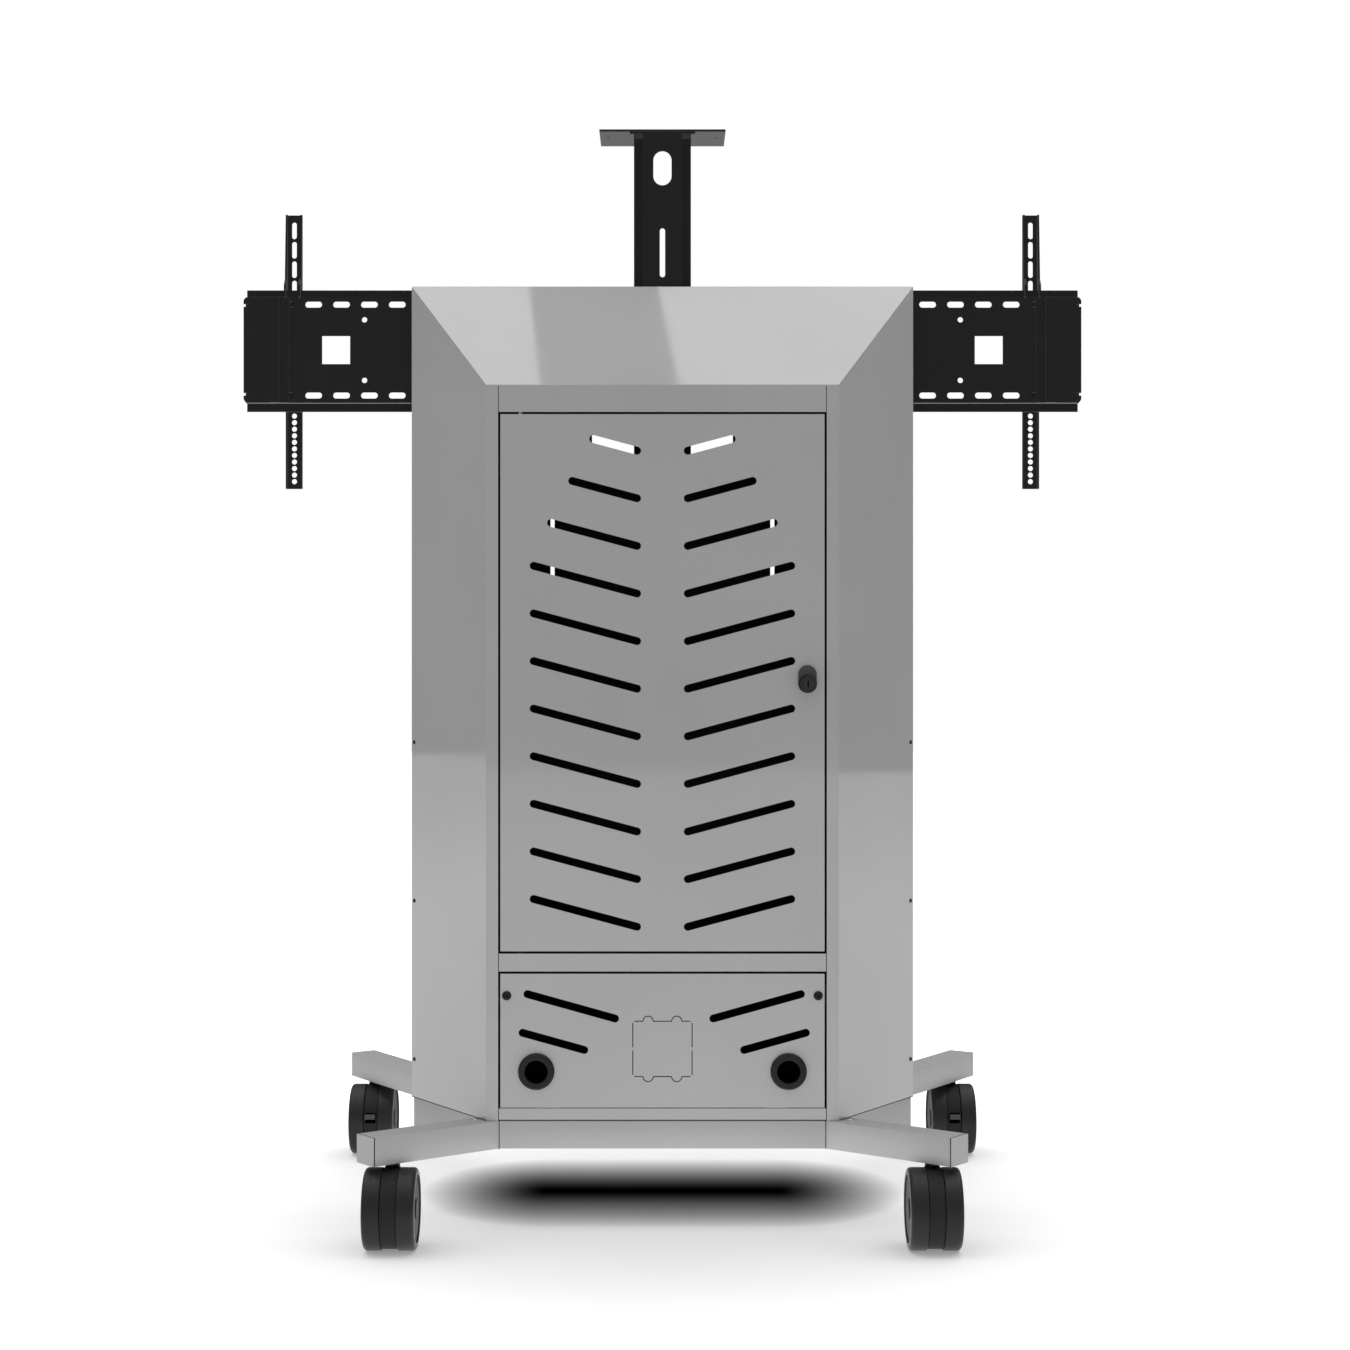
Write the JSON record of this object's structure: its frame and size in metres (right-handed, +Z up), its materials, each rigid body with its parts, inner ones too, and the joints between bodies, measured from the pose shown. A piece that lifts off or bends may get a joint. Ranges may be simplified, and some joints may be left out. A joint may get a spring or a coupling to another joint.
{
  "type": "media cart",
  "caption": "Mobile media cart: flared steel cabinet with slotted door on splayed legs and twin-wheel casters, wide screen mount with sliding arms, and a camera shelf.",
  "frame": {"origin": "on the floor under the middle of the cart's width and depth", "axes": "+Z up, +Y towards the screen side, +X to the right seen from the door side"},
  "size_m": [1.1266, 0.7066, 1.426],
  "materials": {
    "silver_sheet": "satin silver powder coat",
    "black_steel": "fine matt black powder coat",
    "grey_steel": "dark grey powder coat",
    "bright_steel": "zinc plated",
    "caster_plastic": "moulded black",
    "grey_plastic": "moulded dark grey",
    "wheel": "grey-black soft tread",
    "lock_plastic": "black",
    "grommet_rubber": "black rubber"
  },
  "bodies": {
    "cart": {"rear_crossbar": "silver_sheet", "front_crossbar": "silver_sheet", "base_rails": "silver_sheet", "rear_leg_left": "silver_sheet", "rear_leg_right": "silver_sheet", "front_leg_left": "silver_sheet", "front_leg_right": "silver_sheet", "rear_left_stem": "black_steel", "rear_right_stem": "black_steel", "front_left_stem": "black_steel", "front_right_stem": "black_steel", "side_panel_left": "silver_sheet", "side_panel_right": "silver_sheet", "hood": "silver_sheet", "front_panel": "silver_sheet", "header_band": "silver_sheet", "bay_floor": "silver_sheet", "bottom_plate": "silver_sheet", "equipment_shelf": "silver_sheet", "shelf_angles": "silver_sheet", "access_panel": "silver_sheet", "panel_screws": "black_steel", "cable_grommet_left": "grommet_rubber", "cable_grommet_right": "grommet_rubber"},
    "door": {"door": "silver_sheet", "hinge_pins": "bright_steel", "lock_escutcheon": "grey_plastic"},
    "door_lock": {"lock_cylinder": "lock_plastic", "lock_cam": "bright_steel"},
    "screen_mount": {"mount_plate": "black_steel", "mount_wing_left": "black_steel", "mount_wing_right": "black_steel", "mount_spacers": "black_steel", "upright_clips": "black_steel", "mount_bolts": "bright_steel"},
    "arm_left": {"screen_arm_left": "black_steel", "arm_screw_left": "black_steel"},
    "arm_right": {"screen_arm_right": "black_steel", "arm_screw_right": "black_steel"},
    "camera_mast": {"camera_upright": "black_steel", "camera_shelf": "grey_steel", "shelf_screws": "bright_steel"},
    "rear_left_caster": {"rear_left_housing": "caster_plastic", "rear_left_axle": "bright_steel"},
    "rear_left_outer_wheel": {"rear_left_wheel_outer": "wheel"},
    "rear_left_inner_wheel": {"rear_left_wheel_inner": "wheel"},
    "rear_right_caster": {"rear_right_housing": "caster_plastic", "rear_right_axle": "bright_steel"},
    "rear_right_outer_wheel": {"rear_right_wheel_outer": "wheel"},
    "rear_right_inner_wheel": {"rear_right_wheel_inner": "wheel"},
    "front_left_caster": {"front_left_housing": "caster_plastic", "front_left_axle": "bright_steel"},
    "front_left_outer_wheel": {"front_left_wheel_outer": "wheel"},
    "front_left_inner_wheel": {"front_left_wheel_inner": "wheel"},
    "front_right_caster": {"front_right_housing": "caster_plastic", "front_right_axle": "bright_steel"},
    "front_right_outer_wheel": {"front_right_wheel_outer": "wheel"},
    "front_right_inner_wheel": {"front_right_wheel_inner": "wheel"},
    "brake_left": {"brake_pedal_left": "grey_plastic"},
    "brake_right": {"brake_pedal_right": "grey_plastic"}
  },
  "joints": [
    {"name": "door_hinge", "type": "hinge", "parent": "cart", "child": "door", "pos_m": [-0.1795, -0.20363, 0.6914], "axis": [0, 0, -1], "range_deg": [0, 110]},
    {"name": "lock_turn", "type": "hinge", "parent": "door", "child": "door_lock", "pos_m": [0.1823, -0.21163, 0.6899], "axis": [0, 1, 0], "range_deg": [0, 90]},
    {"name": "mount_height", "type": "slide", "parent": "cart", "child": "screen_mount", "axis": [0, 0, 1], "range_m": [-0.28, 0]},
    {"name": "arm_left_slide", "type": "slide", "parent": "screen_mount", "child": "arm_left", "axis": [1, 0, 0], "range_m": [-0.045, 0.39]},
    {"name": "arm_right_slide", "type": "slide", "parent": "screen_mount", "child": "arm_right", "axis": [1, 0, 0], "range_m": [-0.39, 0.045]},
    {"name": "camera_height", "type": "slide", "parent": "screen_mount", "child": "camera_mast", "axis": [0, 0, 1], "range_m": [-0.05, 0]},
    {"name": "rear_left_swivel", "type": "hinge", "parent": "cart", "child": "rear_left_caster", "pos_m": [-0.33117, -0.28531, 0.09], "axis": [0, 0, 1], "continuous": true},
    {"name": "rear_left_outer_spin", "type": "hinge", "parent": "rear_left_caster", "child": "rear_left_outer_wheel", "pos_m": [-0.35217, -0.30331, 0.05], "axis": [1, 0, 0], "continuous": true},
    {"name": "rear_left_inner_spin", "type": "hinge", "parent": "rear_left_caster", "child": "rear_left_inner_wheel", "pos_m": [-0.31017, -0.30331, 0.05], "axis": [1, 0, 0], "continuous": true},
    {"name": "rear_right_swivel", "type": "hinge", "parent": "cart", "child": "rear_right_caster", "pos_m": [0.33117, -0.28531, 0.09], "axis": [0, 0, 1], "continuous": true},
    {"name": "rear_right_outer_spin", "type": "hinge", "parent": "rear_right_caster", "child": "rear_right_outer_wheel", "pos_m": [0.35217, -0.30331, 0.05], "axis": [1, 0, 0], "continuous": true},
    {"name": "rear_right_inner_spin", "type": "hinge", "parent": "rear_right_caster", "child": "rear_right_inner_wheel", "pos_m": [0.31017, -0.30331, 0.05], "axis": [1, 0, 0], "continuous": true},
    {"name": "front_left_swivel", "type": "hinge", "parent": "cart", "child": "front_left_caster", "pos_m": [-0.42173, 0.30942, 0.09], "axis": [0, 0, 1], "continuous": true},
    {"name": "front_left_outer_spin", "type": "hinge", "parent": "front_left_caster", "child": "front_left_outer_wheel", "pos_m": [-0.44272, 0.29142, 0.05], "axis": [1, 0, 0], "continuous": true},
    {"name": "front_left_inner_spin", "type": "hinge", "parent": "front_left_caster", "child": "front_left_inner_wheel", "pos_m": [-0.40072, 0.29142, 0.05], "axis": [1, 0, 0], "continuous": true},
    {"name": "front_right_swivel", "type": "hinge", "parent": "cart", "child": "front_right_caster", "pos_m": [0.42173, 0.30942, 0.09], "axis": [0, 0, 1], "continuous": true},
    {"name": "front_right_outer_spin", "type": "hinge", "parent": "front_right_caster", "child": "front_right_outer_wheel", "pos_m": [0.44272, 0.29142, 0.05], "axis": [1, 0, 0], "continuous": true},
    {"name": "front_right_inner_spin", "type": "hinge", "parent": "front_right_caster", "child": "front_right_inner_wheel", "pos_m": [0.40072, 0.29142, 0.05], "axis": [1, 0, 0], "continuous": true},
    {"name": "brake_left_press", "type": "hinge", "parent": "front_left_caster", "child": "brake_left", "pos_m": [-0.42173, 0.26642, 0.058], "axis": [1, 0, 0], "range_deg": [0, 10]},
    {"name": "brake_right_press", "type": "hinge", "parent": "front_right_caster", "child": "brake_right", "pos_m": [0.42173, 0.26642, 0.058], "axis": [1, 0, 0], "range_deg": [0, 10]}
  ]
}
